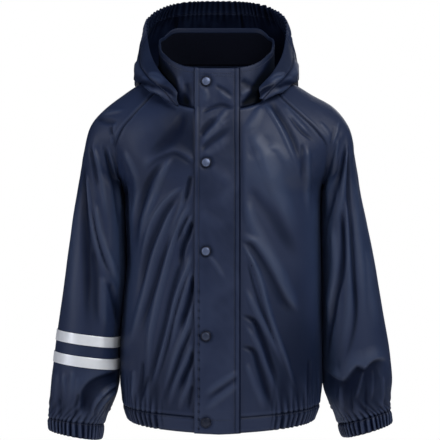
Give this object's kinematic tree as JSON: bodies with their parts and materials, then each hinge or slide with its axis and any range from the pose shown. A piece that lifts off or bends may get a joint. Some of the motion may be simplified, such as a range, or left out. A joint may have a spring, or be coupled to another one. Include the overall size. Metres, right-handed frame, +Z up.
{
  "type": "hooded kids raincoat",
  "caption": "Child's hooded raincoat with raglan sleeves, stand collar, storm flap with press studs, gathered cuffs and hem, filled out as worn.",
  "frame": {"origin": "on the middle line, level with the points where the shoulders meet the neck, midway between front and back of a general figure: where the wearer's shoulders hold the coat", "axes": "+Z up along the wearer, -Y out of the coat's front, +X towards the wearer's left"},
  "size_m": [0.4945, 0.2575, 0.6471],
  "materials": {
    "shell": "navy polyurethane-coated satin with a soft sheen",
    "lining": "dark matt brushed lining",
    "tape": "silver-grey retroreflective tape",
    "studs": "dark navy painted press-stud caps"
  },
  "bodies": {
    "root": {"front_right": "shell", "front_left": "shell", "back": "shell", "sleeve_right": "shell", "sleeve_left": "shell", "cuff_right": "shell", "cuff_left": "shell", "hem_front_right": "shell", "hem_front_left": "shell", "hem_back": "shell", "storm_flap": "shell", "collar": "shell", "collar_lining": "lining", "hood_side_left": "shell", "hood_centre": "shell", "hood_side_right": "shell", "hood_edge": "shell", "snap_1": "studs", "snap_2": "studs", "snap_3": "studs", "snap_4": "studs", "snap_5": "studs", "tape_upper": "tape", "tape_lower": "tape"}
  },
  "joints": []
}
